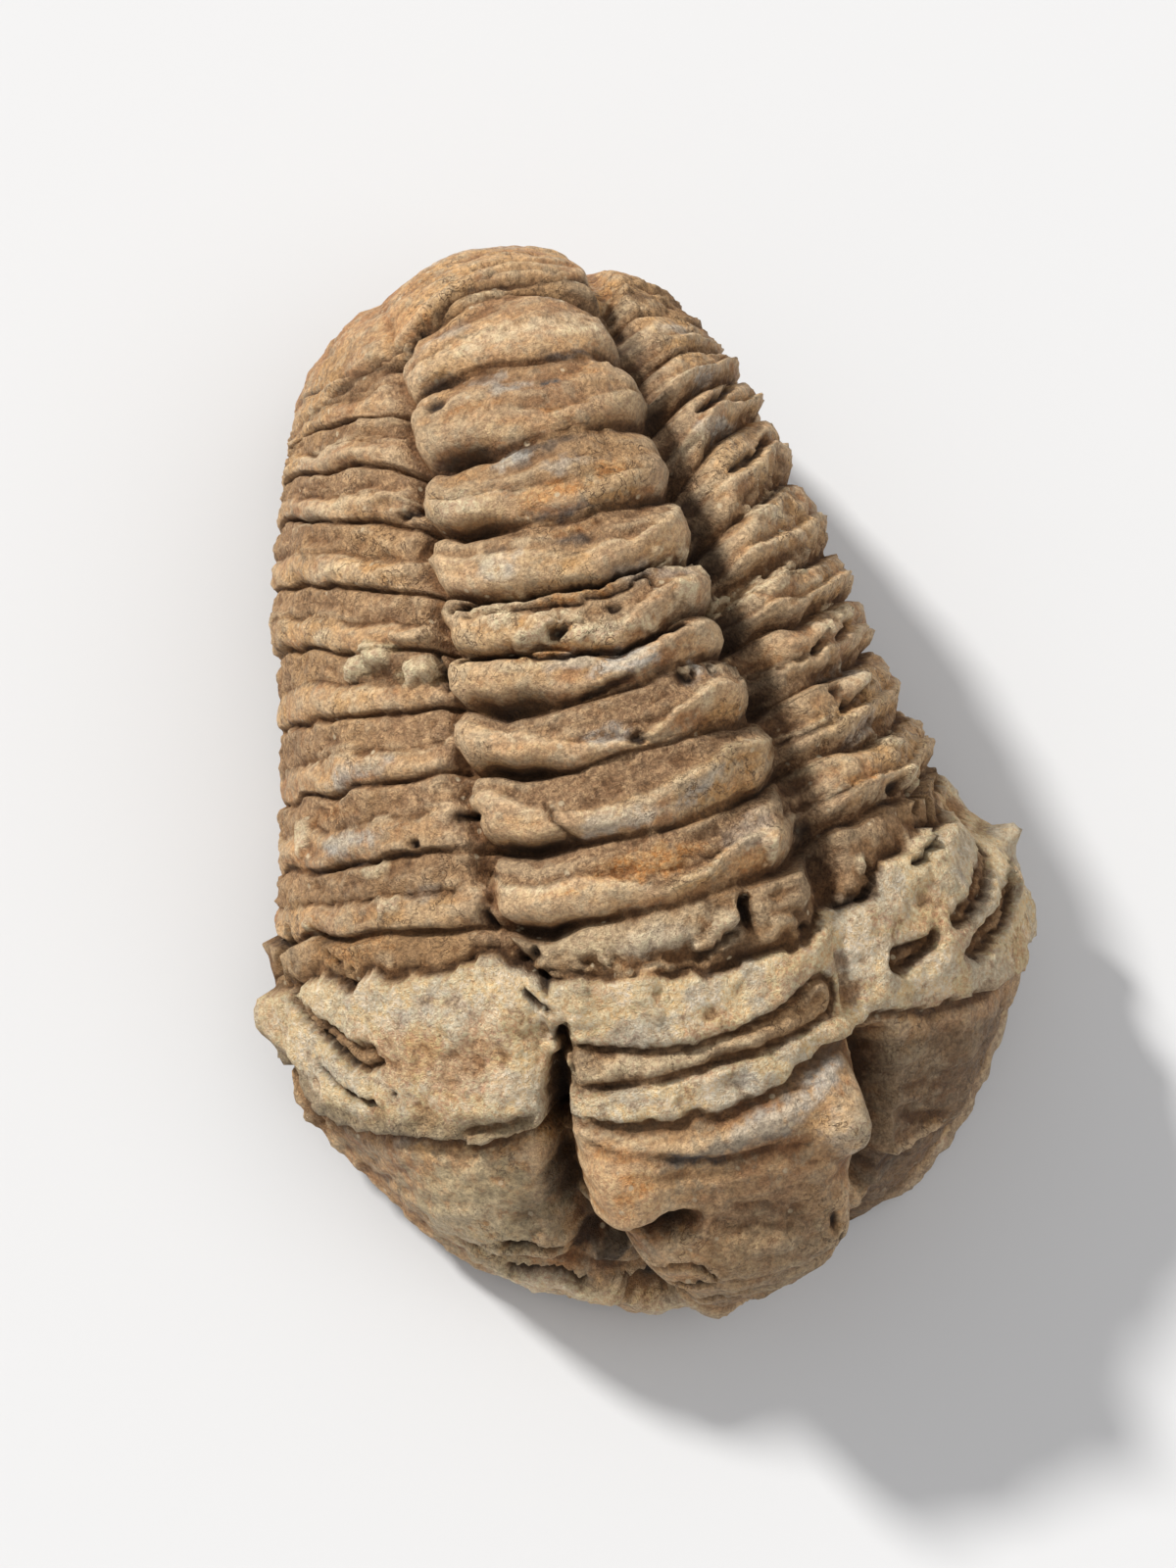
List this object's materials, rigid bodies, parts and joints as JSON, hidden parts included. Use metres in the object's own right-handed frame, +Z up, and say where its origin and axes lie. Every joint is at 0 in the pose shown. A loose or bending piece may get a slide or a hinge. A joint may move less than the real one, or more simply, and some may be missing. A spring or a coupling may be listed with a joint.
{
  "type": "trilobite fossil",
  "caption": "Stone trilobite fossil: broad head with a chipped sheet of rock behind it, ringed body in lengthwise lobes and a tucked-in tail, lying on its worn belly.",
  "frame": {"origin": "middle of the fossil's footprint, on the surface that it rests on", "axes": "+Y towards the tail along the fossil's length, -Y towards the head, +Z up out of the back, +X across"},
  "size_m": [0.059, 0.0818, 0.0358],
  "materials": {
    "brown_limestone": "matt, gritty brown stone with paler grey-buff skin, ochre stains and dark cracks"
  },
  "bodies": {
    "root": {"trilobite_fossil": "brown_limestone"}
  },
  "joints": []
}
